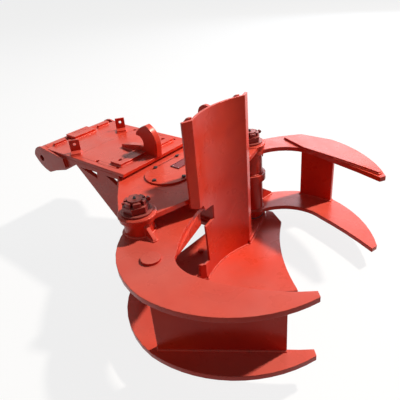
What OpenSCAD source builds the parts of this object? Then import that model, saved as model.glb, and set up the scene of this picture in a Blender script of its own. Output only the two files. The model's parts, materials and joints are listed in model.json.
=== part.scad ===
// Tree shear: a rear coupler frame, a fixed spear knife under it, an upright cradle that the stem
// leans on, and two hooked arms that one cross cylinder swings shut over the knife.
// X points forward to the mouth, Y across to the far arm, Z up. The origin is on the knife's
// underside, midway between the two arm pins.

/* [Arm hinges] */
// distance between the two arm pins
pin_spacing = 588; // [450:1:900]
// diameter of each arm pin
pin_d = 50; // [30:1:80]
// radial clearance of every turning or sliding fit
run_gap = 0.05; // [0.02:0.01:0.1]
// gap left where two pieces only rest on each other
seat_gap = 0.3; // [0.1:0.1:1]
// outer diameter of each hub tube
hub_d = 90; // [70:1:140]
// wall of the bushes pressed into the hubs
bush_wall = 6; // [3:1:12]
// length of each bush
bush_len = 60; // [20:1:100]
// thickness of the thrust washers
washer_t = 4; // [2:1:8]
// radius of the raised ring round each pin on the frame
ring_r = 55; // [40:1:80]
// thickness of that ring
ring_t = 5; // [3:1:12]
// size across the flats of the castle nuts
nut_af = 70; // [50:1:110]
// height of the castle nuts
nut_h = 34; // [20:1:50]
// how far the thread stands out of the nut
thread_out = 3; // [1:1:30]
// diameter of the pin's thread
thread_d = 45; // [28:1:78]
// diameter of the flat head under each pin
pin_head_d = 78; // [60:1:120]
// thickness of that head
pin_head_t = 12; // [6:1:16]
// room round the pin heads in the knife
head_gap = 9; // [3:1:30]
// radius of the flat washer under each castle nut
nut_washer_r = 47; // [36:1:70]
// thickness of that washer
nut_washer_t = 6; // [3:1:12]
// radius of the split pins' wire
split_r = 4; // [2:1:8]

/* [Heights] */
// thickness of the spear knife
knife_t = 16; // [10:1:30]
// thickness of the frame's bottom plate
bottom_t = 16; // [10:1:30]
// clear height between the frame's bottom and top plates
frame_gap = 297; // [200:1:400]
// thickness of the frame's top plate
top_t = 16; // [10:1:30]
// thickness of the service cover
cover_t = 6; // [3:1:12]
// height of the packing between the top plate and the rear plate
packing_t = 9; // [7:1:30]
// thickness of the rear plate
rear_t = 12; // [8:1:25]
// thickness of the arm plates
arm_plate_t = 16; // [10:1:30]
// height of the far arm's lower plate over the bottom plate
far_low_lift = 22; // [5:1:30]
// drop of the far arm's upper plate under the top plate
far_up_drop = 4; // [2:1:20]
// clearance between both arms' lower plates, which pass each other as the shear closes
low_pass_clear = 3; // [2:0.5:40]
// drop of the near arm's upper plate under the top plate
near_up_drop = 44; // [24:1:80]

/* [Near arm] */
// reach of the near arm from its pin to its point
near_reach = 564; // [400:1:800]
// thickness of the upright web of each arm
web_t = 16; // [8:1:30]
// radius of the raised disc on the near arm
boss_r = 28; // [15:1:60]
// height of the raised disc
boss_h = 7; // [3:1:15]
// thickness of the ribs on the arms
rib_t = 12; // [6:1:20]
// height of the web under the near arm's heel, at its deep end
heel_web_h = 55; // [30:1:120]
// width of the near arm's heel at its end
heel_w = 48; // [30:1:80]

/* [Far arm] */
// reach of the far arm from its pin to its point
far_reach = 502; // [400:1:800]
// width of the bar on top of the far arm
top_bar_w = 14; // [6:1:30]
// height of the bar on top of the far arm
top_bar_h = 8; // [4:1:20]

/* [Cross cylinder] */
// distance from an arm pin to its crank pin
crank_r = 108; // [90:1:150]
// angle of the crank pin behind the cross line, with the arms open
crank_angle = 38; // [20:1:60]
// diameter of the crank pins
crank_pin_d = 30; // [20:1:50]
// diameter of the ring that carries each crank's lug
crank_ring_d = 114; // [100:1:160]
// width of each crank lug
lug_w = 50; // [30:1:70]
// thickness of each crank lug
lug_t = 28; // [15:1:40]
// thickness of each plate of the cylinder's two forks
fork_t = 16; // [8:1:24]
// radius of the forks' rounded ends
eye_r = 27; // [20:1:40]
// height of the cylinder's axis over the frame's bottom plate
cyl_lift = 179.5; // [120:0.5:220]
// outer diameter of the barrel
barrel_d = 80; // [60:1:100]
// bore of the barrel
barrel_bore = 64; // [40:1:80]
// diameter of the rod
rod_d = 40; // [25:1:60]
// distance from a crank pin to the cylinder's end behind it
neck = 42; // [34:1:60]
// length of the block that joins both plates of a fork
fork_root = 14; // [6:1:24]
// thickness of the barrel's closed end and of its gland
end_t = 20; // [10:1:40]
// length of the rod that shows with the arms open
rod_show = 12; // [5:1:40]
// length of the piston
piston_len = 34; // [15:1:60]
// outer diameter of the hose ports
port_d = 28; // [16:1:40]
// bore of the hose ports
port_bore = 14; // [6:1:24]
// height of the hose ports
port_h = 18; // [8:1:30]

/* [Knife and bottom plate] */
// reach of the knife's point in front of the pins
knife_reach = 372; // [250:1:500]
// half width of the knife at its shoulders
knife_half = 371; // [250:1:450]
// rise of each hollow flank of the knife
flank_rise = 25; // [0:1:60]
// diameter of the knife bolts
knife_bolt_d = 12; // [8:1:24]
// half width of the bottom plate's rear notch
notch_half = 135; // [60:1:200]

/* [Rear frame] */
// width of the rear plate
rear_w = 342; // [250:1:500]
// length of the rear plate
rear_len = 456; // [300:1:700]
// distance of the rear plate's front edge behind the pins
rear_set = 194; // [100:1:300]
// thickness of the side plates
side_t = 16; // [10:1:30]
// thickness of the nose plates outside them
nose_t = 10; // [6:1:20]
// diameter of the coupler tube
coupler_d = 88; // [60:1:160]
// bore of the coupler tube
coupler_bore = 25; // [12:1:60]
// clearance between the coupler tube and the rear plate
nose_clear = 5.1; // [0.8:0.1:10]
// diameter of the bolt holes in the rear plate
bolt_hole_d = 14; // [8:1:24]
// distance of those holes along the plate
bolt_pitch_x = 111; // [60:1:200]
// distance of those holes across the plate
bolt_pitch_y = 288; // [150:1:400]
// thickness of the hook
hook_t = 24; // [10:1:40]
// height of the hook over the rear plate
hook_h = 112; // [60:1:160]
// thickness of the strap in front of the hook
strap_t = 10; // [5:1:20]
// width of the bars on the rear plate's rear edge
edge_bar_w = 12; // [6:1:30]
// width of the packing bar between the top plate and the rear plate
pack_w = 28; // [15:1:60]
// thickness of the hose brackets
bracket_t = 8; // [3:1:12]
// bore of the hose brackets
bracket_bore = 11; // [6:1:20]
// width of the hose brackets
bracket_w = 38; // [25:1:60]
// height of the hose brackets
bracket_h = 50; // [30:1:90]

/* [Service cover] */
// radius of the cover's two round ends
cover_r = 80; // [50:1:120]
// distance of each round end's centre from the middle
cover_span = 62; // [30:1:100]
// distance of the cover in front of the rear plate
cover_set = 22; // [10:1:60]
// diameter of the cover's screws
cover_bolt_d = 8; // [5:1:14]
// distance of those screws inside the cover's edge
cover_bolt_in = 14; // [8:1:30]
// width of the bare plate on the cover
name_w = 40; // [20:1:60]
// length of the bare plate
name_l = 82; // [40:1:110]
// thickness of the bare plate
name_t = 2; // [1:0.5:4]

/* [Cradle] */
// half width of the cradle between its bends
cradle_half = 128; // [80:1:200]
// depth of the cradle's hollow
cradle_hollow = 28; // [10:1:60]
// thickness of the cradle plate
cradle_t = 9; // [5:1:20]
// height of the cradle's top edge
cradle_top = 589; // [420:1:800]
// distance of the cradle's face in front of the pins, at its middle
cradle_x = 72; // [50:1:120]
// width of the bent edges of the cradle
flange_w = 33; // [10:1:50]
// thickness of the spine and ribs behind the cradle
spine_t = 12; // [6:1:25]
// depth of the spine behind the cradle's face
spine_depth = 56; // [40:1:90]

/* [Hidden] */
$fn = 64;
half = pin_spacing / 2;
pin_r = pin_d / 2;
hub_r = hub_d / 2;
bush_r = pin_r + bush_wall;
low_z = knife_t + bottom_t;
top_z = low_z + frame_gap;
deck_z = top_z + top_t;
rear_z = deck_z + packing_t;
crown_z = rear_z + rear_t;
ring_z = deck_z + ring_t;
nut_z = ring_z + nut_washer_t + 2 * seat_gap;
hub_z0 = low_z + washer_t + seat_gap;
hub_z1 = top_z - washer_t - seat_gap;
near_up_z = top_z - near_up_drop - arm_plate_t;
far_low_z = low_z + far_low_lift;
near_low_z = far_low_z + arm_plate_t + low_pass_clear;
far_up_z = top_z - far_up_drop - arm_plate_t;
cyl_z = low_z + cyl_lift;
crank_x = -crank_r * cos(crank_angle);
crank_y = half - crank_r * sin(crank_angle);
barrel_y0 = -crank_y + neck;
gland_y1 = crank_y - neck - rod_show;
rear_x1 = -rear_set;
rear_x0 = rear_x1 - rear_len;
coupler_r = coupler_d / 2;
coupler_z = crown_z - coupler_r - seat_gap;
coupler_x = rear_x0 - nose_clear - sqrt(coupler_r * coupler_r - (rear_z - coupler_z) * (rear_z - coupler_z));
coupler_back = -coupler_x;
wall_y = rear_w / 2;

// points of the arc from p to q whose middle stands rise to the left of the way
function bow(p, q, rise, n = 10) =
    let (d = q - p, c = norm(d), m = (p + q) / 2, s = [-d[1], d[0]] / c,
         r = (c * c / 4 + rise * rise) / (2 * rise), o = m + s * (rise - r),
         a = asin(min(1, c / 2 / abs(r))))
    [for (i = [0:n]) let (t = -a + 2 * a * i / n)
        o + s * r * cos(t) + d / c * abs(r) * sin(t)];

// points of the circle of radius r round c, from angle a0 to angle a1
function sweep(c, r, a0, a1, n = 12) =
    [for (i = [0:n]) let (a = a0 + (a1 - a0) * i / n) c + r * [cos(a), sin(a)]];

// direction across a path at its point i
function across(path, i) =
    let (a = path[max(i - 1, 0)], b = path[min(i + 1, len(path) - 1)], d = (b - a) / norm(b - a))
    [-d[1], d[0]];

// outline of a strip of width w along a path
function strip(path, w) = concat(
    [for (i = [0:len(path) - 1]) path[i] + across(path, i) * w / 2],
    [for (i = [len(path) - 1:-1:0]) path[i] - across(path, i) * w / 2]);

// a half outline, from its front to its rear, closed by its mirror image
function twin(half_line) = concat(half_line, [for (i = [len(half_line) - 1:-1:0])
    if (abs(half_line[i][1]) > 0) [half_line[i][0], -half_line[i][1]]]);

// a share table made real by one size
function sized(shares, size) = [for (s = shares) s * size];

module steel() { color([0.86, 0.22, 0.12]) children(); }
module bright() { color([0.72, 0.72, 0.70]) children(); }
module dark() { color([0.12, 0.12, 0.13]) children(); }

module slab(z, t) { translate([0, 0, z]) linear_extrude(t) children(); }
module both() { children(); mirror([0, 1, 0]) children(); }
module ring(r1, r0, z, t) {
    slab(z, t) difference() {
        circle(r1);
        circle(r0);
    }
}

// upright plate: its outline is drawn as X and Z and it stands between y0 and y0 + t
module upright(y0, t) {
    translate([0, y0 + t, 0]) rotate([90, 0, 0]) linear_extrude(t) children();
}

/* Rear frame */
bolt_xs = [-1, 0, 1] * bolt_pitch_x;
bolt_mid_x = rear_x1 - 0.374 * rear_len;

module rear_plate() {
    steel() slab(rear_z, rear_t) difference() {
        translate([rear_x0, -wall_y]) square([rear_len, rear_w]);
        for (dx = bolt_xs, s = [-1, 1])
            translate([bolt_mid_x + dx, s * bolt_pitch_y / 2]) circle(d = bolt_hole_d);
    }
}

// side plate outline: shares of the coupler's distance in X, of the frame's gap in Z
toe_x = -0.088 * coupler_back;
throat_x = -0.244 * coupler_back;
step_x = rear_x1 - packing_t * 3;
side_low_shares = [[-0.277, 0], [-0.35, 0.337], [-0.679, 1.034], [-0.797, 0.892], [-0.94, 0.8]];
window_a_shares = [[-0.639, 1.02], [-0.501, 1.027], [-0.508, 0.939]];
window_b_shares = [[-0.428, 1.027], [-0.339, 1.03], [-0.348, 0.936]];
nose_wrap = asin((rear_z - seat_gap - coupler_z) / (coupler_r - seat_gap));
full_turn = 360;
function side_points(shares) =
    [for (p = shares) [p[0] * coupler_back, low_z + seat_gap + p[1] * frame_gap]];
module side_outline() {
    difference() {
        polygon(concat(
                [[toe_x, low_z + seat_gap]], side_points(side_low_shares),
                sweep([coupler_x, coupler_z], coupler_r - seat_gap, -90, nose_wrap - full_turn, 24),
                [[step_x, rear_z - seat_gap], [step_x, top_z - seat_gap],
                 [toe_x, top_z - seat_gap],
                 [throat_x, top_z - 0.12 * frame_gap],
                 [throat_x, low_z + 0.44 * frame_gap],
                 [toe_x, low_z + 0.12 * frame_gap]]));
        translate([coupler_x, coupler_z]) circle(coupler_r - side_t / 2);
        polygon(side_points(window_a_shares));
        polygon(side_points(window_b_shares));
    }
}

module side_plate_near() { steel() upright(-wall_y, side_t) side_outline(); }
module side_plate_far() { steel() upright(wall_y - side_t, side_t) side_outline(); }

// nose outline: shares of the coupler's radius, from its centre, round the rear and forward
nose_top_share = [0.6, 1.04];
nose_rear_share = [-1.18, 0.1];
nose_low_share = [0.82, -1.24];
nose_front_shares = [[3.59, -0.17], [3.5, 0.69]];
module nose_plates() {
    steel() both() upright(wall_y + seat_gap, nose_t) translate([coupler_x, coupler_z])
        difference() {
            polygon(sized(concat(bow(nose_top_share, nose_rear_share, -0.42, 8),
                bow(nose_rear_share, nose_low_share, -0.3, 8), nose_front_shares), coupler_r));
            circle(d = coupler_bore);
        }
}

module coupler_tube() {
    steel() translate([coupler_x, 0, coupler_z]) rotate([90, 0, 0]) difference() {
        union() {
            cylinder(r = coupler_r, h = rear_w - 2 * side_t - 2 * seat_gap, center = true);
            cylinder(r = coupler_r - side_t / 2 - run_gap, h = rear_w, center = true);
        }
        cylinder(d = coupler_bore, h = rear_w + nose_t, center = true);
    }
}

pad_half = 0.31 * wall_y;
pad_len = 0.136 * rear_len;
pad_x = rear_x0 - pad_len / 2;
module pad_screws_at() {
    both() translate([pad_x + 0.4 * pad_len, 0.6 * pad_half, crown_z + seat_gap]) children();
}
module latch_pad() {
    steel() difference() {
        slab(crown_z + seat_gap, rear_t) translate([pad_x, -pad_half])
            square([pad_len, 2 * pad_half]);
        pad_screws_at() {
            translate([0, 0, -rear_t]) cylinder(d = knife_bolt_d + 2 * seat_gap, h = 3 * rear_t);
            translate([0, 0, 0.6 * rear_t]) cylinder(d = knife_bolt_d * 1.6 + 2 * seat_gap, h = rear_t);
        }
    }
}
module latch_pad_screws() {
    steel() pad_screws_at() {
        translate([0, 0, seat_gap]) cylinder(d = knife_bolt_d, h = 0.7 * rear_t);
        translate([0, 0, 0.6 * rear_t + seat_gap]) cylinder(d = knife_bolt_d * 1.6, h = 0.36 * rear_t);
    }
}

bar_in = 0.49 * wall_y;
bar_out = 0.81 * wall_y;
module edge_bars() {
    steel() both() translate([rear_x0, bar_in, crown_z + seat_gap])
        cube([edge_bar_w, bar_out - bar_in, strap_t]);
}

strap_x = rear_x1 - 0.232 * rear_len;
strap_w = 0.12 * rear_len;
strap_half = 0.79 * wall_y;
module strap() {
    steel() slab(crown_z + seat_gap, strap_t) difference() {
        translate([strap_x, -strap_half]) square([strap_w, 2 * strap_half]);
        both() translate([strap_x + strap_w * 0.4, 0.81 * strap_half]) circle(d = bolt_hole_d);
    }
}

// hook outline in shares of its height, from the front foot up and back over the point, then
// round the throat and along the foot bar
hook_shares = concat([[0, 0]], bow([0.03, 0.36], [-0.37, 1], -0.12, 14),
    bow([-0.4, 0.995], [-0.86, 0.68], -0.04, 10), [[-0.875, 0.61]],
    bow([-0.79, 0.6], [-0.63, 0.22], 0.13, 16), [[-0.72, 0.27], [-1.16, 0.21], [-1.69, 0.12],
    [-1.69, 0]]);
module hook() {
    steel() difference() {
        upright(-hook_t / 2, hook_t) translate([rear_x1 + nose_t / 2, crown_z + seat_gap])
            polygon(sized(hook_shares, hook_h));
        translate([strap_x - seat_gap, -strap_half, crown_z])
            cube([strap_w + 2 * seat_gap, 2 * strap_half, strap_t + 2 * seat_gap]);
    }
}

bracket_turn = -38;
near_bracket_shares = [0.69, -0.76];
far_bracket_shares = [0.748, 0.71];
module hose_bracket(at) {
    translate([rear_x1 - at[0] * rear_len, at[1] * wall_y, crown_z + seat_gap])
        rotate([0, 0, bracket_turn]) {
            translate([0, -bracket_w / 2, 0]) cube([bracket_w * 1.1, bracket_w, bracket_t]);
            rotate([90, 0, 90]) linear_extrude(bracket_t) difference() {
                translate([-bracket_w / 2, 0]) square([bracket_w, bracket_h]);
                translate([0, 0.66 * bracket_h]) circle(d = bracket_bore);
            }
        }
}
module hose_brackets() {
    steel() hose_bracket(near_bracket_shares);
    steel() hose_bracket(far_bracket_shares);
}

pack_x = rear_x1 - 0.235 * rear_len;
module packing_bar() {
    steel() slab(deck_z, packing_t - seat_gap)
        translate([pack_x, -wall_y + side_t + packing_t])
            square([pack_w, 2 * (wall_y - side_t - packing_t)]);
}

/* Top plate and its cover */
module pin_holes(r) { both() translate([0, half]) circle(r); }
module top_plate() {
    steel() slab(top_z, top_t) difference() {
        polygon(twin(concat([[cradle_x - nose_t, cradle_half * 0.3],
                [cradle_x + 0.07 * cradle_half, cradle_half * 1.15],
                [0.085 * pin_spacing, half * 0.92]],
            sweep([0, half], ring_r, -5, 135),
            [[-0.214 * pin_spacing, half * 0.888],
                [rear_x1 - packing_t * 3 + seat_gap, wall_y],
                [rear_x1 - packing_t * 3 + seat_gap, wall_y - side_t - seat_gap],
                [pack_x, wall_y - side_t - seat_gap]])));
        pin_holes(pin_r + run_gap);
    }
}

cover_x = rear_x1 + cover_set + cover_r;
screw_r = cover_r - cover_bolt_in;
module cover_screw_places() {
    both() {
        for (side = [-1, 1]) translate([cover_x + side * screw_r, cover_span * 0.9]) children();
        translate([cover_x, cover_span + screw_r]) children();
    }
}
module service_cover() {
    steel() slab(deck_z, cover_t) difference() {
        polygon(concat(sweep([cover_x, cover_span], cover_r, 0, 180, 24),
            sweep([cover_x, -cover_span], cover_r, 180, 360, 24)));
        cover_screw_places() circle(cover_bolt_d / 2 + seat_gap);
    }
}
module cover_bolts() {
    dark() cover_screw_places() translate([0, 0, deck_z + seat_gap]) {
        cylinder(d = cover_bolt_d, h = cover_t);
        translate([0, 0, cover_t]) cylinder(r = cover_bolt_d * 0.85, h = cover_bolt_d * 0.6, $fn = 6);
    }
}
module name_plate() {
    bright() translate([cover_x - 0.7 * name_w, -0.27 * name_l, deck_z + cover_t + seat_gap])
        cube([name_w, name_l, name_t]);
}

/* Bottom plate and knife */
lobe_wrap = 190;
module bottom_plate() {
    steel() slab(knife_t, bottom_t) difference() {
        polygon(twin(concat([[cradle_x - nose_t, cradle_half * 0.95],
                [0.173 * pin_spacing, cradle_half * 1.02], [0.148 * pin_spacing, half * 0.63]],
            sweep([0, half], ring_r, 0, lobe_wrap),
            [[-0.17 * pin_spacing, half * 0.8], [-0.33 * pin_spacing, wall_y + side_t],
                [-0.33 * pin_spacing, notch_half], [-0.122 * pin_spacing, notch_half]])));
        pin_holes(pin_r + run_gap);
        knife_bolt_holes();
    }
}
knife_bolt_shares = [[-0.024, 0.1], [0.14, 0.68], [-0.024, 0.62]];
module knife_bolt_holes() {
    both() for (p = knife_bolt_shares)
        translate([p[0] * knife_reach, p[1] * half]) circle(knife_bolt_d / 2 + seat_gap);
}

tip_x = knife_reach;
shoulder_x = 0.14 * knife_reach;
barb = [0.328 * knife_reach, 0.871 * knife_half];
head_clear = pin_head_d / 2 + head_gap;
module knife() {
    bright() slab(0, knife_t) difference() {
        polygon(twin(concat(
            [[tip_x, 0]], bow([tip_x - knife_t / 2, knife_t / 2], barb, flank_rise, 12),
            [[shoulder_x, knife_half], [head_clear / 2, knife_half * 0.99],
             [head_clear, half + head_clear / 3], [head_clear, half - head_clear],
             [-0.08 * knife_reach, half - head_clear - knife_t]])));
        knife_bolt_holes();
    }
}
module knife_bolts() {
    dark() both() for (p = knife_bolt_shares) translate([p[0] * knife_reach, p[1] * half, 0]) {
        translate([0, 0, knife_t * 0.1]) cylinder(d = knife_bolt_d, h = low_z - knife_t * 0.1);
        translate([0, 0, low_z]) cylinder(r = knife_bolt_d * 0.95, h = far_low_lift * 0.45, $fn = 6);
    }
}

/* Cradle */
corner_x = cradle_x + cradle_hollow;
flange_turn = 110;
module cradle_plan() {
    along = [cos(flange_turn), sin(flange_turn)];
    behind = [-sin(flange_turn), cos(flange_turn)] * cradle_t;
    front = [corner_x, cradle_half];
    tip = front + along * flange_w;
    half_front = [for (p = bow([corner_x, -cradle_half], front, cradle_hollow, 24))
        if (p[1] >= 0) p];
    half_rear = [for (p = bow([corner_x - cradle_t, cradle_half * 0.97],
        [corner_x - cradle_t, -cradle_half * 0.97], -cradle_hollow, 24)) if (p[1] >= 0) p];
    polygon(twin(concat(half_front, [tip, tip + behind], half_rear)));
}
// cut-out of the near edge: y in shares of the cradle's half width, z in shares of the frame's
// gap. The top is measured from the near arm's upper plate, the middle from the heel web's
// lower edge and the foot from the bottom plate.
cut_top_shares = [[-1.7, 0.114], [-1.26, 0.114], [-1.13, 0.081], [-0.78, 0.04], [-0.7, -0.04],
                  [-0.27, -0.074]];
cut_mid_shares = [[-0.28, -0.011], [-0.68, 0], [-0.77, 0.014], [-0.75, -0.091]];
cut_foot_shares = [[-0.7, 0.138], [-1.09, 0.203], [-1.14, 0.198], [-1.17, 0.06], [-1.7, 0.06]];
function cut_points(shares, z) = [for (p = shares) [p[0] * cradle_half, z + p[1] * frame_gap]];
module cradle() {
    steel() difference() {
        slab(knife_t, cradle_top - knife_t) cradle_plan();
        rotate([90, 0, 90]) linear_extrude(coupler_back) polygon(concat(
            cut_points(cut_top_shares, near_up_z + arm_plate_t),
            cut_points(cut_mid_shares, near_up_z - heel_web_h),
            cut_points(cut_foot_shares, low_z)));
        for (side = [-1, 1])
            translate([cradle_x, side > 0 ? cradle_half * 0.94 : -cradle_half * 1.94, 0])
                cube([2 * flange_w, cradle_half, low_z + seat_gap]);
    }
}
spine_r = spine_depth * 0.52;
module cradle_spine() {
    front = cradle_x - cradle_t - seat_gap;
    back = cradle_x - spine_depth;
    steel() upright(-spine_t / 2, spine_t) polygon(concat(
        [[back - spine_t, deck_z + seat_gap], [front, deck_z + seat_gap]],
        sweep([back + spine_r, cradle_top - spine_r], spine_r, 52, 180)));
}
module cradle_side_ribs() {
    rib_front = cradle_x + cradle_hollow * 0.72 - cradle_t;
    steel() both() upright(0.86 * cradle_half, spine_t) polygon([
        [rib_front, deck_z + seat_gap], [rib_front, cradle_top + spine_t / 6],
        [rib_front - spine_t, cradle_top], [rib_front - spine_t * 2, cradle_top - spine_t],
        [rib_front - spine_t * 2, deck_z + seat_gap]]);
}

/* Pins, nuts and washers */
pin_top = nut_z + nut_h + thread_out;
split_z = nut_z + nut_h * 0.82;
split_turn = -32;
module arm_pin() {
    bright() difference() {
        union() {
            slab(knife_t - seat_gap - pin_head_t, pin_head_t) circle(d = pin_head_d);
            slab(knife_t - seat_gap, ring_z - knife_t + seat_gap) circle(pin_r);
            slab(ring_z, pin_top - ring_z) circle(d = thread_d);
        }
        translate([0, 0, split_z]) rotate([90, 0, split_turn])
            cylinder(r = split_r + seat_gap, h = pin_head_d, center = true);
    }
}
module each_pin() { for (side = [-1, 1]) translate([0, side * half, 0]) children(); }
module near_pin() { translate([0, -half]) arm_pin(); }
module far_pin() { translate([0, half]) arm_pin(); }

module pin_rings() {
    steel() both() translate([0, half]) ring(ring_r - seat_gap, pin_r + run_gap, deck_z, ring_t);
}
module nut_washers() {
    steel() both() translate([0, half])
        ring(nut_washer_r, pin_r + seat_gap, ring_z + seat_gap, nut_washer_t);
}
castle_h = nut_h * 0.4;
slot_depth = castle_h * 0.92;
slot_w = 2 * split_r + 4 * seat_gap;
castle_turn = 90 + split_turn;
module pin_nuts() {
    dark() each_pin() translate([0, 0, nut_z]) difference() {
        union() {
            cylinder(r = nut_af / 2 / cos(30), h = nut_h - castle_h, $fn = 6);
            rotate([0, 0, castle_turn + 30]) cylinder(d = nut_af * 0.94, h = nut_h);
        }
        rotate([0, 0, castle_turn + 30]) translate([0, 0, -nut_h])
            cylinder(r = thread_d / 2 + run_gap, h = 3 * nut_h);
        for (step = [0:2]) rotate([0, 0, castle_turn + step * 60])
            translate([-nut_af, -slot_w / 2, nut_h - slot_depth])
                cube([2 * nut_af, slot_w, nut_h]);
    }
}
split_reach = nut_af * 0.56;
module split_pins() {
    bright() each_pin() translate([0, 0, split_z]) rotate([0, 0, split_turn]) {
        rotate([90, 0, 0]) cylinder(r = split_r, h = 2 * split_reach, center = true);
        translate([0, split_reach, 0]) rotate([0, 90, 0])
            cylinder(r = split_r * 1.5, h = split_r * 2.4, center = true);
    }
}
module thrust_washers() {
    bright() both() translate([0, half]) {
        ring(hub_r, pin_r + seat_gap, low_z, washer_t);
        ring(hub_r, pin_r + seat_gap, top_z - washer_t, washer_t);
    }
}

/* Arms: every outline is in shares of the arm's reach, from its pin */
module near_side() { translate([0, -half, 0]) children(); }
module far_side() { translate([0, half, 0]) children(); }
module hub_hole() { circle(hub_r + seat_gap); }

near_root = [-0.075, -0.037];
near_elbow = [0.378, -0.362];
near_tip = [0.998, 0.062];
near_tip_in = [0.972, 0.089];
near_belly = [0.47, -0.127];
near_throat = [0.316, -0.076];
heel = [cradle_x, half - 0.66 * cradle_half];
heel_root = [0.3, -0.045];
heel_back_share = [-0.06, 0.16];
near_hook = concat(bow(near_root, near_elbow, -0.078, 8), bow(near_elbow, near_tip, -0.119, 14),
                   bow(near_tip_in, near_belly, 0.04, 8), bow(near_belly, near_throat, 0.017, 6));
lobe_r = hub_r * 1.2;

module near_upper_plate() {
    steel() near_side() slab(near_up_z, arm_plate_t) difference() {
        union() {
            polygon(concat(sized(near_hook, near_reach),
                bow(heel_root * near_reach, heel, 0.026 * near_reach, 6),
                [heel - [heel_w, 0], heel_back_share * near_reach]));
            circle(lobe_r);
        }
        hub_hole();
    }
}
module near_lower_plate() {
    steel() near_side() slab(near_low_z, arm_plate_t) difference() {
        union() {
            polygon(sized(concat(near_hook, [[0.08, 0.055], [-0.06, 0.055]]), near_reach));
            circle(lobe_r);
        }
        hub_hole();
    }
}
// upright wall between two points of an arm, in shares of its reach
module wall(p, q, z0, z1, t, reach) {
    d = (q - p) * reach;
    translate(p * reach) rotate([0, 0, atan2(d[1], d[0])]) translate([0, -t / 2, z0])
        cube([norm(d), t, z1 - z0]);
}
near_web_a = [0.383, -0.319];
near_web_b = [0.872, 0.018];
module near_web() {
    steel() near_side() wall(near_web_a, near_web_b, near_low_z + arm_plate_t, near_up_z,
                             web_t, near_reach);
}
module hub_tube() { ring(hub_r, bush_r + run_gap, hub_z0, hub_z1 - hub_z0); }
module bushes() {
    for (z = [hub_z0, hub_z1 - bush_len]) ring(bush_r, pin_r + run_gap, z, bush_len);
}
module near_hub() { steel() near_side() hub_tube(); }
module near_bushes() { bright() near_side() bushes(); }
module near_boss() {
    steel() near_side() translate([0.232 * near_reach, -0.151 * near_reach])
        slab(near_up_z + arm_plate_t, boss_h) circle(boss_r);
}
// rib that leans on a hub tube and stands on a plate: its long side on the plate, its short
// side on the tube
module hub_rib(turn, z, long_side, short_side) {
    rotate([0, 0, turn]) translate([hub_r + seat_gap, 0, z]) upright(-rib_t / 2, rib_t)
        polygon([[0, 0], [long_side, 0], [long_side, 0.15 * short_side], [0, short_side]]);
}
near_rib_turn = -12;
module near_hub_rib() {
    steel() near_side()
        hub_rib(near_rib_turn, near_up_z + arm_plate_t, hub_r * 0.84, near_up_drop - 2 * washer_t);
}
module near_heel_web() {
    start = [0.27, -0.02] * near_reach;
    way = heel - [rib_t, rib_t] - start;
    steel() near_side() translate([start[0], start[1], near_up_z])
        rotate([0, 0, atan2(way[1], way[0])]) upright(-rib_t / 2, rib_t) polygon([
            [0, 0], [norm(way), 0], [norm(way), -heel_web_h], [0, -0.16 * heel_web_h]]);
}
// crank: a ring round the hub and one lug, drawn for the near arm
crank_turn = 180 - crank_angle;
lug_z = cyl_z - lug_t / 2;
fork_zs = [lug_z - seat_gap - fork_t, lug_z + lug_t + seat_gap];
fork_h = lug_t + 2 * fork_t + 2 * seat_gap;
module crank() {
    slab(lug_z, lug_t) difference() {
        union() {
            circle(d = crank_ring_d);
            rotate([0, 0, crank_turn]) {
                translate([0, -lug_w / 2]) square([crank_r, lug_w]);
                translate([crank_r, 0]) circle(d = lug_w);
            }
        }
        rotate([0, 0, crank_turn]) translate([crank_r, 0]) circle(crank_pin_d / 2 + run_gap);
        hub_hole();
    }
}
module crank_pin() {
    rotate([0, 0, crank_turn]) translate([crank_r, 0, 0]) {
        slab(fork_zs[0] - seat_gap, fork_h + 2 * seat_gap) circle(d = crank_pin_d);
        for (z = [fork_zs[0] - seat_gap - washer_t, fork_zs[1] + fork_t + seat_gap])
            slab(z, washer_t) circle(d = crank_pin_d * 1.4);
    }
}
module near_crank() { steel() near_side() crank(); }
module near_crank_pin() { bright() near_side() crank_pin(); }

far_root = [-0.075, 0.06];
far_up_b = [0.203, 0.425];
far_up_c = [0.46, 0.43];
far_tip = [1.0, 0.04];
far_tip_in = [0.978, 0.002];
far_up_d = [0.45, 0.163];
far_up_e = [0.086, -0.038];
far_up_f = [0.806, 0.06];
module far_upper_plate() {
    steel() far_side() slab(far_up_z, arm_plate_t) difference() {
        union() {
            polygon(sized(concat(bow(far_up_e, far_up_d, 0.092, 10), [far_up_f, far_tip_in],
                bow(far_tip, far_up_c, -0.058, 8), bow(far_up_b, far_root, -0.03, 5)),
                far_reach));
            circle(lobe_r);
        }
        hub_hole();
    }
}
far_low_root = [-0.095, 0.12];
far_low_b = [0.222, 0.414];
far_low_c = [0.498, 0.424];
far_low_d = [0.53, 0.147];
far_low_e = [0.098, -0.02];
far_low_tip = [1.018, 0.0];
far_low_tip_in = [1.004, -0.052];
module far_lower_plate() {
    steel() far_side() slab(far_low_z, arm_plate_t) difference() {
        union() {
            polygon(sized(concat(bow(far_low_e, far_low_d, 0.1, 12),
                bow(far_low_d, far_low_tip_in, 0.012, 4), bow(far_low_tip, far_low_c, -0.062, 8),
                bow(far_low_b, far_low_root, -0.035, 6)), far_reach));
            circle(lobe_r);
        }
        hub_hole();
    }
}
module far_web() {
    steel() far_side() wall([0.236, 0.388], [0.5, 0.398], far_low_z + arm_plate_t, far_up_z,
                            web_t, far_reach);
}
module far_hub() { steel() far_side() hub_tube(); }
module far_bushes() { bright() far_side() bushes(); }
low_rib_turn = 85;
up_rib_turn = 52;
module far_hub_ribs() {
    steel() far_side() {
        hub_rib(low_rib_turn, far_low_z + arm_plate_t, hub_r * 1.8, hub_r * 1.5);
        translate([0, 0, 2 * far_up_z]) mirror([0, 0, 1])
            hub_rib(up_rib_turn, far_up_z, hub_r * 0.35, hub_r * 0.45);
    }
}
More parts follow.
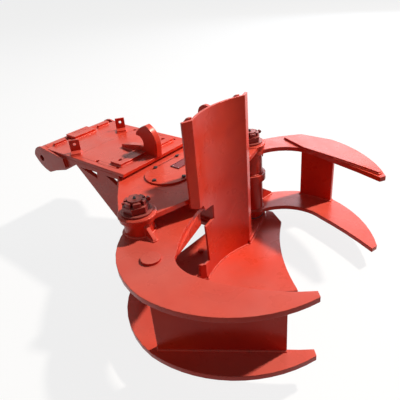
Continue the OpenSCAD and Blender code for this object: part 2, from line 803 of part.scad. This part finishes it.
top_bar_shares = [[0.146, 0.282], [0.361, 0.182], [0.617, 0.132], [0.79, 0.095], [0.958, 0.05]];
module far_top_bar() {
    steel() far_side() slab(far_up_z + arm_plate_t, top_bar_h)
        polygon(strip(top_bar_shares * far_reach, top_bar_w));
}
module far_crank() { steel() far_side() mirror([0, 1, 0]) crank(); }
module far_crank_pin() { bright() far_side() mirror([0, 1, 0]) crank_pin(); }

/* Cross cylinder: it lies along Y between the two crank pins */
module along_y(y0, y1, r) {
    translate([crank_x, y0, cyl_z]) rotate([-90, 0, 0]) cylinder(r = r, h = y1 - y0);
}
barrel_r = barrel_d / 2;
gland_y0 = gland_y1 - end_t;
port_ys = [barrel_y0 + end_t + port_d * 0.6, gland_y0 - end_t - port_d * 0.6];
module barrel() {
    dark() difference() {
        along_y(barrel_y0, gland_y0 - seat_gap, barrel_r);
        along_y(barrel_y0 + end_t, gland_y1, barrel_bore / 2);
        for (y = port_ys) translate([crank_x, y, cyl_z - barrel_d])
            cylinder(d = port_bore, h = barrel_d);
    }
}
module hose_ports() {
    bright() for (y = port_ys) difference() {
        translate([crank_x, y, cyl_z - barrel_r - port_h]) cylinder(d = port_d, h = barrel_r);
        translate([crank_x, y, cyl_z - barrel_d]) cylinder(d = port_bore, h = barrel_d);
        along_y(barrel_y0 - end_t, gland_y1, barrel_r + seat_gap);
    }
}
// fork round a crank's lug: two plates and the block that joins them, side +1 for a block
// that lies towards the far arm
module fork(y, side, w) {
    difference() {
        union() {
            for (z = fork_zs) slab(z, fork_t) {
                translate([crank_x, y]) circle(eye_r);
                translate([crank_x - w / 2, side > 0 ? y : y - neck]) square([w, neck]);
            }
            slab(fork_zs[0], fork_h) translate([crank_x - w / 2,
                side > 0 ? y + neck - fork_root : y - neck]) square([w, fork_root]);
        }
        slab(low_z, frame_gap) translate([crank_x, y]) circle(crank_pin_d / 2 + run_gap);
    }
}
module barrel_fork() { bright() fork(-crank_y, 1, eye_r * 1.6); }
module gland() {
    bright() difference() {
        union() {
            along_y(gland_y0, gland_y1, barrel_r);
            along_y(gland_y0 - end_t, gland_y0, barrel_bore / 2 - run_gap);
        }
        along_y(gland_y0 - 2 * end_t, gland_y1 + end_t, rod_d / 2 + run_gap);
    }
}
piston_y0 = barrel_y0 + end_t * 1.5;
module rod() {
    bright() along_y(piston_y0, crank_y - neck, rod_d / 2);
}
module rod_fork() { bright() fork(crank_y, -1, eye_r * 1.4); }
module piston() {
    dark() difference() {
        along_y(piston_y0, piston_y0 + piston_len, barrel_bore / 2 - run_gap);
        along_y(piston_y0 - end_t, piston_y0 + piston_len + end_t, rod_d / 2 + run_gap);
    }
}

rear_plate();
side_plate_near();
side_plate_far();
nose_plates();
coupler_tube();
latch_pad();
latch_pad_screws();
edge_bars();
hook();
strap();
hose_brackets();
packing_bar();
top_plate();
service_cover();
cover_bolts();
name_plate();
bottom_plate();
knife();
knife_bolts();
cradle();
cradle_spine();
cradle_side_ribs();
near_pin();
far_pin();
pin_rings();
nut_washers();
pin_nuts();
split_pins();
thrust_washers();
near_upper_plate();
near_lower_plate();
near_web();
near_hub();
near_bushes();
near_boss();
near_hub_rib();
near_heel_web();
near_crank();
near_crank_pin();
far_upper_plate();
far_lower_plate();
far_web();
far_hub();
far_bushes();
far_hub_ribs();
far_top_bar();
far_crank();
far_crank_pin();
barrel();
barrel_fork();
gland();
hose_ports();
rod();
rod_fork();
piston();
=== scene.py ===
import json
import math

import bmesh
import bpy
from mathutils import Matrix, Vector
from mathutils.bvhtree import BVHTree


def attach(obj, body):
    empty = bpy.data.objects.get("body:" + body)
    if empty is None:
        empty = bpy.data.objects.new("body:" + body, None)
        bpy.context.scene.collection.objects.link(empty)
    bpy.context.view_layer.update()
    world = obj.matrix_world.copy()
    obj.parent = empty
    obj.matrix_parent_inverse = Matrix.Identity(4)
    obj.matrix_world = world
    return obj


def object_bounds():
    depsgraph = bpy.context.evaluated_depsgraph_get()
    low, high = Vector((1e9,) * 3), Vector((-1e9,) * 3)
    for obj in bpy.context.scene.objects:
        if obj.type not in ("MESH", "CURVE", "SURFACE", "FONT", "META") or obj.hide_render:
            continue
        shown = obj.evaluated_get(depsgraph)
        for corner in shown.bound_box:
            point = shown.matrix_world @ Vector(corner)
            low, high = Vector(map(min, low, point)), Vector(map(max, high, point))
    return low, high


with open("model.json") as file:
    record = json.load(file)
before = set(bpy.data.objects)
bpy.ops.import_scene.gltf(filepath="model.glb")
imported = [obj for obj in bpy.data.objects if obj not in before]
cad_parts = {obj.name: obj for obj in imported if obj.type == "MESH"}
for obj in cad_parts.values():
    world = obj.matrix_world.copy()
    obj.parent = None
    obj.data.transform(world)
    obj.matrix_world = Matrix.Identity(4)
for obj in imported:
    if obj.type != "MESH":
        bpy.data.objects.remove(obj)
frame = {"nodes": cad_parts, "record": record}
cad_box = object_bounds()

# ---------------------------------------------------------------- camera
# A hand-held view from the near front corner, a little above the deck, with the picture
# rolled a few degrees. The lens is a normal one on a 36 mm sensor.
view_turn = math.radians(42.28)
view_tilt = math.radians(29.78)
view_roll = math.radians(-5.54)
eye_place = Vector((0.872, -0.976, 0.992))
lens_mm = 39.09
sensor_mm = 36
nearest_seen = 0.01

back = Vector((math.sin(view_turn) * math.cos(view_tilt),
               -math.cos(view_turn) * math.cos(view_tilt), math.sin(view_tilt)))
side = Vector((math.cos(view_turn), math.sin(view_turn), 0))
rise = back.cross(side)
rolled_side = side * math.cos(view_roll) + rise * math.sin(view_roll)
rolled_rise = rise * math.cos(view_roll) - side * math.sin(view_roll)
camera_data = bpy.data.cameras.new("camera")
camera_data.lens = lens_mm
camera_data.sensor_width = sensor_mm
camera_data.clip_start = nearest_seen
camera = bpy.data.objects.new("camera", camera_data)
camera.matrix_world = Matrix.Translation(eye_place) @ Matrix(
    (rolled_side, rolled_rise, back)).transposed().to_4x4()
bpy.context.scene.collection.objects.link(camera)
bpy.context.scene.camera = camera

# ---------------------------------------------------------------- studio floor and light
# The floor is a plain pale sheet that shows white to the eye and to polished metal, and keeps
# the tool's soft shadow. One strong lamp stands high at the front far corner, a wide pale one
# behind the far arm lays the sheen on the upper faces, and two weak ones fill near and front.


def add_piece(name, mesh, material=None):
    mesh.name = name
    piece = bpy.data.objects.new(name, mesh)
    bpy.context.scene.collection.objects.link(piece)
    if material:
        mesh.materials.append(material)
    return piece


def link(tree, out, into):
    tree.links.new(out, into)


def seen_rays(tree):
    """1 for rays from the eye, from gloss or through glass, 0 for the light they gather."""
    rays = tree.nodes.new("ShaderNodeLightPath")
    first = tree.nodes.new("ShaderNodeMath")
    first.operation = "MAXIMUM"
    link(tree, rays.outputs["Is Camera Ray"], first.inputs[0])
    link(tree, rays.outputs["Is Glossy Ray"], first.inputs[1])
    both = tree.nodes.new("ShaderNodeMath")
    both.operation = "MAXIMUM"
    link(tree, first.outputs[0], both.inputs[0])
    link(tree, rays.outputs["Is Transmission Ray"], both.inputs[1])
    return both.outputs[0]


floor_half = 30.0
floor_gap = 0.0005
floor_mesh = bpy.data.meshes.new("floor")
floor_mesh.from_pydata([(-floor_half, -floor_half, 0), (floor_half, -floor_half, 0),
                        (floor_half, floor_half, 0), (-floor_half, floor_half, 0)],
                       [], [(0, 1, 2, 3)])
floor_paint = bpy.data.materials.new("floor_paint")
floor_paint.use_nodes = True
floor_tree = floor_paint.node_tree
floor_grey = floor_tree.nodes["Principled BSDF"]
floor_grey.inputs["Base Color"].default_value = (0.20, 0.19, 0.18, 1)
floor_grey.inputs["Roughness"].default_value = 0.9
floor_grey.inputs["Specular IOR Level"].default_value = 0.1
floor_pale = floor_tree.nodes.new("ShaderNodeBsdfDiffuse")
floor_pale.inputs["Color"].default_value = (0.14, 0.14, 0.14, 1)
floor_glow = floor_tree.nodes.new("ShaderNodeEmission")
floor_glow.inputs["Strength"].default_value = 0.84
floor_white = floor_tree.nodes.new("ShaderNodeAddShader")
link(floor_tree, floor_pale.outputs[0], floor_white.inputs[0])
link(floor_tree, floor_glow.outputs[0], floor_white.inputs[1])
floor_mix = floor_tree.nodes.new("ShaderNodeMixShader")
link(floor_tree, seen_rays(floor_tree), floor_mix.inputs[0])
link(floor_tree, floor_grey.outputs[0], floor_mix.inputs[1])
link(floor_tree, floor_white.outputs[0], floor_mix.inputs[2])
link(floor_tree, floor_mix.outputs[0],
     floor_tree.nodes["Material Output"].inputs["Surface"])
floor = add_piece("floor", floor_mesh, floor_paint)
floor.location.z = cad_box[0][2] - floor_gap

world = bpy.data.worlds.new("room")
bpy.context.scene.world = world
world.use_nodes = True
room = world.node_tree
room_light = room.nodes["Background"]
room_light.inputs["Color"].default_value = (0.93, 0.96, 1.0, 1)
room_light.inputs["Strength"].default_value = 0.09
room_white = room.nodes.new("ShaderNodeBackground")
room_white.inputs["Strength"].default_value = 1.0
room_mix = room.nodes.new("ShaderNodeMixShader")
link(room, seen_rays(room), room_mix.inputs[0])
link(room, room_light.outputs[0], room_mix.inputs[1])
link(room, room_white.outputs[0], room_mix.inputs[2])
link(room, room_mix.outputs[0], room.nodes["World Output"].inputs["Surface"])


def add_lamp(name, place, aim, size, power, tint):
    data = bpy.data.lights.new(name, "AREA")
    data.shape = "DISK"
    data.size = size
    data.energy = power
    data.color = tint
    lamp = bpy.data.objects.new(name, data)
    lamp.location = place
    lamp.rotation_euler = (Vector(aim) - Vector(place)).to_track_quat("-Z", "Y").to_euler()
    bpy.context.scene.collection.objects.link(lamp)


middle = (0, 0, 0.25)
add_lamp("key_lamp", (1.8, 3.4, 4.85), middle, 0.42, 480, (1.0, 0.94, 0.85))
add_lamp("sheen_lamp", (-1.2, 5.2, 2.4), middle, 4.2, 120, (0.82, 0.88, 1.0))
add_lamp("near_lamp", (0.6, -3.2, 1.4), middle, 2.4, 7, (1.0, 0.97, 0.94))
add_lamp("front_lamp", (1.7, 3.2, 1.2), middle, 0.8, 14, (1.0, 0.88, 0.74))

bpy.context.scene.view_settings.view_transform = "Standard"

# ---------------------------------------------------------------- red enamel
# Every plate and tube is sprayed with one red-orange machine enamel, glossy with a fine orange
# peel, a pale tone on the upward faces that is dust and also a painted sheen, darker rubbed
# edges and the torch's upright lines where it was flame-cut. The nuts and pins are a darker red
# and the name plate a deeper one.


def own_place(tree):
    """Places in the object's own frame, in metres."""
    return tree.nodes.new("ShaderNodeTexCoord").outputs["Object"]


def spots(tree, scale, detail, low, high):
    """A cloudy pattern: 0 where its noise is at low or less, 1 where it is at high or more."""
    pattern = tree.nodes.new("ShaderNodeTexNoise")
    pattern.inputs["Scale"].default_value = scale
    pattern.inputs["Detail"].default_value = detail
    link(tree, own_place(tree), pattern.inputs["Vector"])
    ramp = tree.nodes.new("ShaderNodeMapRange")
    ramp.inputs["From Min"].default_value = low
    ramp.inputs["From Max"].default_value = high
    link(tree, pattern.outputs["Fac"], ramp.inputs["Value"])
    return ramp.outputs["Result"]


def between(tree, amount, low, high):
    """Runs from low to high as amount runs from 0 to 1."""
    spread = tree.nodes.new("ShaderNodeMapRange")
    spread.inputs["To Min"].default_value = low
    spread.inputs["To Max"].default_value = high
    link(tree, amount, spread.inputs["Value"])
    return spread.outputs["Result"]


def bumped(tree, height, normal, strength, depth):
    """The normal with a relief of this depth in metres laid over it."""
    relief = tree.nodes.new("ShaderNodeBump")
    relief.inputs["Strength"].default_value = strength
    relief.inputs["Distance"].default_value = depth
    link(tree, height, relief.inputs["Height"])
    link(tree, normal, relief.inputs["Normal"])
    return relief.outputs[0]


def blended(tree, amount, first, second):
    """Runs from first to second. A mix node's colours are inputs 6 and 7 and output 2."""
    mix = tree.nodes.new("ShaderNodeMix")
    mix.data_type = "RGBA"
    link(tree, amount, mix.inputs["Factor"])
    for value, socket in ((first, mix.inputs[6]), (second, mix.inputs[7])):
        if isinstance(value, tuple):
            socket.default_value = (*value, 1)
        else:
            link(tree, value, socket)
    return mix.outputs[2]


def worked_out(tree, kind, first, second):
    """One sum on two values, kept from 0 to 1."""
    sum_node = tree.nodes.new("ShaderNodeMath")
    sum_node.operation = kind
    sum_node.use_clamp = True
    for value, socket in ((first, sum_node.inputs[0]), (second, sum_node.inputs[1])):
        if isinstance(value, (int, float)):
            socket.default_value = value
        else:
            link(tree, value, socket)
    return sum_node.outputs[0]


def edge_rub(tree, radius, chips):
    """1 on the outside edges where the spots of chips let it through, 0 elsewhere."""
    growth = 7.0
    rounded = tree.nodes.new("ShaderNodeBevel")
    rounded.samples = 4
    rounded.inputs["Radius"].default_value = radius
    shape = tree.nodes.new("ShaderNodeNewGeometry")
    dot = tree.nodes.new("ShaderNodeVectorMath")
    dot.operation = "DOT_PRODUCT"
    link(tree, rounded.outputs[0], dot.inputs[0])
    link(tree, shape.outputs["True Normal"], dot.inputs[1])
    turned = worked_out(tree, "SUBTRACT", 1.0, dot.outputs["Value"])
    turned = worked_out(tree, "MULTIPLY", turned, growth)
    return worked_out(tree, "MULTIPLY", turned, chips), rounded.outputs[0]


def lean(tree):
    """How far a face looks up: 1 level, 0 upright, -1 hanging."""
    shape = tree.nodes.new("ShaderNodeNewGeometry")
    split = tree.nodes.new("ShaderNodeSeparateXYZ")
    link(tree, shape.outputs["Normal"], split.inputs[0])
    return split.outputs["Z"]


def enamel(name, lit, deep, dust_and_sheen=0.27, gloss=0.22, cut=0.0):
    """Paint that runs from lit to deep, with pale dust and a painted sheen on its upward faces.
    Cut is how strongly the torch's lines show.
    """
    edge_round, wear, fleck_share, gloss_spread = 0.002, 0.7, 0.35, 0.2
    dust_and_sheen_tone, rubbed_tone = (0.88, 0.42, 0.33), (0.16, 0.05, 0.04)
    fine_scale, drawn_out = 420, 0.04
    paint = bpy.data.materials.new(name)
    paint.use_nodes = True
    tree = paint.node_tree
    shader = tree.nodes["Principled BSDF"]
    shader.inputs["Specular IOR Level"].default_value = 0.5
    shader.inputs["Specular Tint"].default_value = (1.0, 0.24, 0.2, 1)
    shader.inputs["Coat Weight"].default_value = 0.05
    shader.inputs["Coat Roughness"].default_value = 0.16
    colour = blended(tree, spots(tree, 3.2, 5, 0.35, 0.68), lit, deep)
    flecks = worked_out(tree, "MULTIPLY", spots(tree, 21, 7, 0.5, 0.75), fleck_share)
    colour = blended(tree, flecks, colour, deep)
    # Pale dust on the upward faces, which also paints in the sheen that the sky would lay on the
    # tops.
    dust_and_sheen_mask = worked_out(tree, "MULTIPLY", spots(tree, 3, 7, 0.25, 0.8), dust_and_sheen)
    colour = blended(tree, worked_out(tree, "MULTIPLY", dust_and_sheen_mask, lean(tree)), colour, dust_and_sheen_tone)
    rubbed, round_normal = edge_rub(tree, edge_round, spots(tree, 34, 9, 0.53, 0.6))
    colour = blended(tree, worked_out(tree, "MULTIPLY", rubbed, wear), colour, rubbed_tone)
    link(tree, colour, shader.inputs["Base Color"])
    rough = between(tree, spots(tree, 14, 6, 0.3, 0.75), gloss, gloss + gloss_spread)
    link(tree, rough, shader.inputs["Roughness"])
    wavy = bumped(tree, spots(tree, 16, 2, 0.2, 0.8), round_normal, strength=0.25, depth=0.0015)
    peel = bumped(tree, spots(tree, fine_scale, 2, 0.2, 0.8), wavy, strength=0.12, depth=0.0003)
    upright = worked_out(tree, "SUBTRACT", 1.0, worked_out(tree, "ABSOLUTE", lean(tree), 0))
    drawn = tree.nodes.new("ShaderNodeMapping")
    drawn.inputs["Scale"].default_value = (1, 1, drawn_out)
    link(tree, own_place(tree), drawn.inputs["Vector"])
    drag = tree.nodes.new("ShaderNodeTexNoise")
    drag.inputs["Scale"].default_value = fine_scale
    drag.inputs["Detail"].default_value = 3
    link(tree, drawn.outputs[0], drag.inputs["Vector"])
    torch_lines = worked_out(tree, "MULTIPLY", drag.outputs["Fac"], upright)
    surface = bumped(tree, torch_lines, peel, strength=cut, depth=0.0008)
    link(tree, surface, shader.inputs["Normal"])
    return paint


lit_red, deep_red = (0.70, 0.040, 0.012), (0.50, 0.018, 0.009)
red_enamel = enamel("red_enamel", lit_red, deep_red)
cut_enamel = enamel("cut_plate_enamel", lit_red, deep_red, cut=0.35)
plate_enamel = enamel("name_plate_enamel", (0.20, 0.012, 0.030), (0.15, 0.010, 0.022), dust_and_sheen=0.1)
dark_enamel = enamel("dark_red_enamel", (0.27, 0.022, 0.018), (0.17, 0.014, 0.012), dust_and_sheen=0.3,
                     gloss=0.26)

# ---------------------------------------------------------------- bare and black steel
# Bushes, crank pins and the gland are turned steel with fine lathe lines. The rod is ground and
# chromed. The cover's screws, thrust washers, grease nipples and cylinder barrel are blacked.


def turned_steel(name, colour, rough, metallic=1.0, lines=0.3):
    """Metal with lathe lines across its own upright axis."""
    edge_round, rough_spread = 0.0015, 0.18
    darker = tuple(c * 0.62 for c in colour)
    paler = tuple(min(1, c * 1.3 + 0.1) for c in colour)
    steel = bpy.data.materials.new(name)
    steel.use_nodes = True
    tree = steel.node_tree
    shader = tree.nodes["Principled BSDF"]
    shader.inputs["Metallic"].default_value = metallic
    tone = blended(tree, spots(tree, 22, 6, 0.35, 0.7), colour, darker)
    rubbed, round_normal = edge_rub(tree, edge_round, spots(tree, 60, 8, 0.45, 0.55))
    tone = blended(tree, rubbed, tone, paler)
    link(tree, tone, shader.inputs["Base Color"])
    roughness = between(tree, spots(tree, 70, 5, 0.3, 0.7), rough, rough + rough_spread)
    link(tree, roughness, shader.inputs["Roughness"])
    bands = tree.nodes.new("ShaderNodeTexWave")
    bands.bands_direction = "Z"
    bands.inputs["Scale"].default_value = 180
    bands.inputs["Distortion"].default_value = 1.5
    link(tree, own_place(tree), bands.inputs["Vector"])
    ripple = bumped(tree, bands.outputs["Fac"], round_normal, strength=lines, depth=0.0003)
    link(tree, ripple, shader.inputs["Normal"])
    return steel


bare_steel = turned_steel("bare_steel", (0.56, 0.55, 0.53), 0.3)
chrome = turned_steel("rod_chrome", (0.82, 0.83, 0.85), 0.06, lines=0.05)
blacked = turned_steel("blacked_steel", (0.035, 0.035, 0.038), 0.42, metallic=0.3, lines=0.1)

# ---------------------------------------------------------------- plates, tubes and their edges
# The plates are flame-cut and their edges are dressed with a grinder before painting, so each
# one has a small round. Rolled and turned pieces are smooth.

sharp_from = math.radians(40)
same_point = 0.00001
plate_round = 0.0012
corner_group = bpy.data.node_groups.new("kept_corners", "GeometryNodeTree")
corner_group.interface.new_socket("Geometry", in_out="INPUT", socket_type="NodeSocketGeometry")
corner_group.interface.new_socket("Geometry", in_out="OUTPUT", socket_type="NodeSocketGeometry")
group_in = corner_group.nodes.new("NodeGroupInput")
group_out = corner_group.nodes.new("NodeGroupOutput")
fold = corner_group.nodes.new("GeometryNodeInputMeshEdgeAngle")
steep = corner_group.nodes.new("FunctionNodeCompare")
steep.data_type = "FLOAT"
steep.operation = "GREATER_THAN"
steep.inputs[1].default_value = sharp_from
link(corner_group, fold.outputs["Unsigned Angle"], steep.inputs[0])
smooth_faces = corner_group.nodes.new("GeometryNodeSetShadeSmooth")
smooth_faces.domain = "FACE"
hard_edges = corner_group.nodes.new("GeometryNodeSetShadeSmooth")
hard_edges.domain = "EDGE"
hard_edges.inputs["Shade Smooth"].default_value = False
link(corner_group, group_in.outputs[0], smooth_faces.inputs["Geometry"])
link(corner_group, smooth_faces.outputs[0], hard_edges.inputs["Geometry"])
link(corner_group, steep.outputs[0], hard_edges.inputs["Selection"])
link(corner_group, hard_edges.outputs[0], group_out.inputs[0])


def dress_edges(node, width):
    """Joins the imported faces, rounds the sharp edges by width and keeps flat faces flat."""
    joined = node.modifiers.new("joined", "WELD")
    joined.merge_threshold = same_point
    ground = node.modifiers.new("ground_edges", "BEVEL")
    ground.width = width
    ground.segments = 2
    ground.limit_method = "ANGLE"
    ground.angle_limit = sharp_from
    corners = node.modifiers.new("kept_corners", "NODES")
    corners.node_group = corner_group
    level = node.modifiers.new("level_faces", "WEIGHTED_NORMAL")
    level.keep_sharp = True


finish_of_slot = {"enamel": red_enamel, "steel": bare_steel, "black": blacked, "chrome": chrome}
dark_nodes = ("pin_nuts", "near_pin", "far_pin", "split_pins", "nut_washers")
plate_nodes = ("near_upper_plate", "near_lower_plate", "far_upper_plate", "far_lower_plate",
               "top_plate", "bottom_plate", "rear_plate", "hook", "knife", "near_crank",
               "far_crank")
finish_of_node = {"name_plate": plate_enamel, "thrust_washers": blacked,
                  **dict.fromkeys(dark_nodes, dark_enamel),
                  **dict.fromkeys(plate_nodes, cut_enamel)}
for part in frame["record"]["subparts"]:
    node = frame["nodes"][part["node"]]
    finish = finish_of_node.get(part["node"], finish_of_slot[part["material_slot"]])
    if not node.material_slots:
        node.data.materials.append(finish)
    for place in node.material_slots:
        place.material = finish
    dress_edges(node, plate_round)

# ---------------------------------------------------------------- weld beads
# The plates, tubes and gussets are joined by hand-laid fillet welds, painted over with the rest.
# Each bead is a rippled round along the line where one piece stands on another.


def merged_shape(node_name):
    shape = bmesh.new()
    shape.from_mesh(frame["nodes"][node_name].data)
    bmesh.ops.remove_doubles(shape, verts=shape.verts, dist=same_point)
    return shape


def seam_lines(node_name, onto_name):
    """The runs of sharp edges of one node that lie on another, as (points, closed)."""
    within = 0.0009
    fold_from = math.radians(30)
    shape = merged_shape(node_name)
    other = merged_shape(onto_name)
    ground = BVHTree.FromBMesh(other)

    def touches(point):
        return ground.find_nearest(point, within)[0] is not None

    joined = {}
    for edge in shape.edges:
        if len(edge.link_faces) != 2 or edge.calc_face_angle(0) < fold_from:
            continue
        first, last = edge.verts
        if touches(first.co) and touches(last.co) and touches((first.co + last.co) / 2):
            joined.setdefault(first.index, []).append(last.index)
            joined.setdefault(last.index, []).append(first.index)
    shape.verts.ensure_lookup_table()
    places = {index: shape.verts[index].co.copy() for index in joined}
    other.free()
    shape.free()
    lines = []
    used = set()
    starts = sorted(joined, key=lambda index: (len(joined[index]) == 2, index))
    for start in starts:
        for following in sorted(joined[start]):
            if frozenset((start, following)) in used:
                continue
            run = [start]
            here, ahead = start, following
            while True:
                used.add(frozenset((here, ahead)))
                run.append(ahead)
                onward = [n for n in sorted(joined[ahead]) if frozenset((ahead, n)) not in used]
                if len(joined[ahead]) != 2 or not onward:
                    break
                here, ahead = ahead, onward[0]
            closed = run[0] == run[-1] and len(run) > 3
            lines.append(([places[index] for index in run], closed))
    return lines


def evenly(points, step):
    """Points at equal steps along a line."""
    spans = [(b - a).length for a, b in zip(points, points[1:])]
    total = sum(spans)
    count = max(2, round(total / step))
    out = []
    walked, index = 0.0, 0
    for i in range(count + 1):
        goal = total * i / count
        while index < len(spans) - 1 and walked + spans[index] < goal:
            walked += spans[index]
            index += 1
        share = (goal - walked) / spans[index] if spans[index] else 0
        out.append(points[index].lerp(points[index + 1], min(1, max(0, share))))
    return out, total


def lay_bead(shape, points, closed, leg):
    """Adds one rippled bead to shape along points."""
    step, ripple, sides = 0.0024, 0.0072, 8
    ripple_share, drift_share, drift_pace = 0.13, 0.05, 0.37
    aslant = Vector((0.31, 0.17, 0.93))
    track, total = evenly(points, step)
    if closed:
        track = track[:-1]
    count = len(track)
    rings = []
    for i, place in enumerate(track):
        before = track[i - 1] if (i or closed) else track[0]
        after = track[(i + 1) % count] if (i < count - 1 or closed) else track[-1]
        ahead = (after - before).normalized()
        across = ahead.cross(aslant).normalized()
        up = across.cross(ahead)
        swell = leg * (1 + ripple_share * math.sin(2 * math.pi * i * step / ripple)
                       + drift_share * math.sin(i * drift_pace))
        rings.append([shape.verts.new(place + (across * math.cos(a) + up * math.sin(a)) * swell)
                      for a in (2 * math.pi * k / sides for k in range(sides))])
    for i in range(count if closed else count - 1):
        ring, onward = rings[i], rings[(i + 1) % count]
        shift = 0
        if closed and i == count - 1:
            shift = min(range(sides), key=lambda s: sum(
                (ring[k].co - onward[(k + s) % sides].co).length for k in range(sides)))
        for k in range(sides):
            shape.faces.new((ring[k], ring[(k + 1) % sides],
                             onward[(k + 1 + shift) % sides], onward[(k + shift) % sides]))
    if not closed:
        shape.faces.new(reversed(rings[0]))
        shape.faces.new(rings[-1])


def weld(name, body, seams, leg=0.0048):
    """One piece with every bead of a group. A seam is (node, the node it stands on), and can
    add the least length of a line that is welded."""
    least_usual = 0.018
    shape = bmesh.new()
    for node_name, onto_name, *stated in seams:
        least = stated[0] if stated else least_usual
        for points, closed in seam_lines(node_name, onto_name):
            if sum((b - a).length for a, b in zip(points, points[1:])) >= least:
                lay_bead(shape, points, closed, leg)
    bmesh.ops.recalc_face_normals(shape, faces=shape.faces)
    for face in shape.faces:
        face.smooth = True
    mesh = bpy.data.meshes.new(name)
    shape.to_mesh(mesh)
    shape.free()
    beads = add_piece(name, mesh, red_enamel)
    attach(beads, body)


weld("rear_frame_welds", "frame",
     [("side_plate_near", "rear_plate"), ("side_plate_far", "rear_plate"),
      ("side_plate_near", "bottom_plate"), ("side_plate_far", "bottom_plate"),
      ("side_plate_near", "top_plate"), ("side_plate_far", "top_plate"),
      ("nose_plates", "side_plate_near"), ("nose_plates", "side_plate_far")])
weld("top_fitting_welds", "frame",
     [("latch_pad", "rear_plate"), ("edge_bars", "rear_plate"), ("strap", "rear_plate"),
      ("hook", "rear_plate"), ("hose_brackets", "rear_plate"), ("packing_bar", "top_plate")],
     leg=0.0034)
weld("cradle_welds", "frame",
     [("cradle_spine", "cradle"), ("cradle_side_ribs", "cradle"), ("cradle_spine", "top_plate"),
      ("cradle_side_ribs", "top_plate"), ("cradle", "knife"), ("bottom_plate", "knife"),
      ("pin_rings", "top_plate", 0.3)], leg=0.004)
weld("near_arm_welds", "near_arm",
     [("near_web", "near_upper_plate"), ("near_web", "near_lower_plate"),
      ("near_upper_plate", "near_hub"), ("near_lower_plate", "near_hub"),
      ("near_hub_rib", "near_upper_plate"), ("near_hub_rib", "near_hub"),
      ("near_heel_web", "near_upper_plate"), ("near_crank", "near_hub", 0.2)])
weld("far_arm_welds", "far_arm",
     [("far_web", "far_upper_plate"), ("far_web", "far_lower_plate"),
      ("far_upper_plate", "far_hub"), ("far_lower_plate", "far_hub"),
      ("far_hub_ribs", "far_upper_plate"), ("far_hub_ribs", "far_lower_plate"),
      ("far_hub_ribs", "far_hub"), ("far_top_bar", "far_upper_plate"),
      ("far_crank", "far_hub", 0.2)])

# ---------------------------------------------------------------- name plate's rim
# The plate on the service cover has a raised rim and a domed rivet in each corner. Its field is
# bare. It is painted in a deeper red than the cover.


def box_of(node_name):
    """The node's least and greatest corner in the frame."""
    node = frame["nodes"][node_name]
    corners = [node.matrix_world @ Vector(c) for c in node.bound_box]
    return (Vector(min(c[i] for c in corners) for i in range(3)),
            Vector(max(c[i] for c in corners) for i in range(3)))


def add_bar(shape, low, high):
    bmesh.ops.create_cube(shape, size=1, matrix=Matrix.Translation((low + high) / 2)
                          @ Matrix.Diagonal((*(high - low), 1)))


def add_round(shape, place, radius, height, sides, top_share=1.0):
    """A small upright cylinder or cone that stands at place."""
    bmesh.ops.create_cone(shape, cap_ends=True, segments=sides, radius1=radius,
                          radius2=radius * top_share, depth=height,
                          matrix=Matrix.Translation(place + Vector((0, 0, height / 2))))


def finished_piece(name, shape, material, body):
    mesh = bpy.data.meshes.new(name)
    bmesh.ops.recalc_face_normals(shape, faces=shape.faces)
    shape.to_mesh(mesh)
    shape.free()
    piece = add_piece(name, mesh, material)
    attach(piece, body)
    dress_edges(piece, small_round)


small_round = 0.0002
round_sides = 20
rim_w, rim_h, inset, sunk = 0.0026, 0.0009, 0.0007, 0.0001
rivet_in, rivet_r, rivet_h, rivet_dome = 0.006, 0.0019, 0.0014, 0.55
low, high = box_of("name_plate")
rim = bmesh.new()
z0, z1 = high.z - sunk, high.z + rim_h
x0, x1, y0, y1 = low.x + inset, high.x - inset, low.y + inset, high.y - inset
add_bar(rim, Vector((x0, y0, z0)), Vector((x0 + rim_w, y1, z1)))
add_bar(rim, Vector((x1 - rim_w, y0, z0)), Vector((x1, y1, z1)))
add_bar(rim, Vector((x0 + rim_w, y0, z0)), Vector((x1 - rim_w, y0 + rim_w, z1)))
add_bar(rim, Vector((x0 + rim_w, y1 - rim_w, z0)), Vector((x1 - rim_w, y1, z1)))
finished_piece("name_plate_rim", rim, plate_enamel, "frame")
rivets = bmesh.new()
for x in (x0 + rivet_in, x1 - rivet_in):
    for y in (y0 + rivet_in, y1 - rivet_in):
        add_round(rivets, Vector((x, y, z0)), rivet_r, rivet_h, round_sides, rivet_dome)
finished_piece("name_plate_rivets", rivets, bare_steel, "frame")

# ---------------------------------------------------------------- grease nipples
# Each arm pin is drilled for grease and has a nipple screwed into the middle of its top: a
# hexagon, a neck and a tapered head, each let a little into the one below.

tuck = 0.0002
nipple_steps = ((0.0052, 0.0032, 6, 1.0), (0.0034, 0.0026, round_sides, 1.0),
                (0.0028, 0.0026, round_sides, 0.6))
nipples = bmesh.new()
for node_name in ("near_pin", "far_pin"):
    low, high = box_of(node_name)
    foot = Vector(((low.x + high.x) / 2, (low.y + high.y) / 2, high.z - tuck))
    for radius, height, sides, top_share in nipple_steps:
        add_round(nipples, foot, radius, height, sides, top_share)
        foot = foot + Vector((0, 0, height - tuck))
finished_piece("grease_nipples", nipples, blacked, "frame")
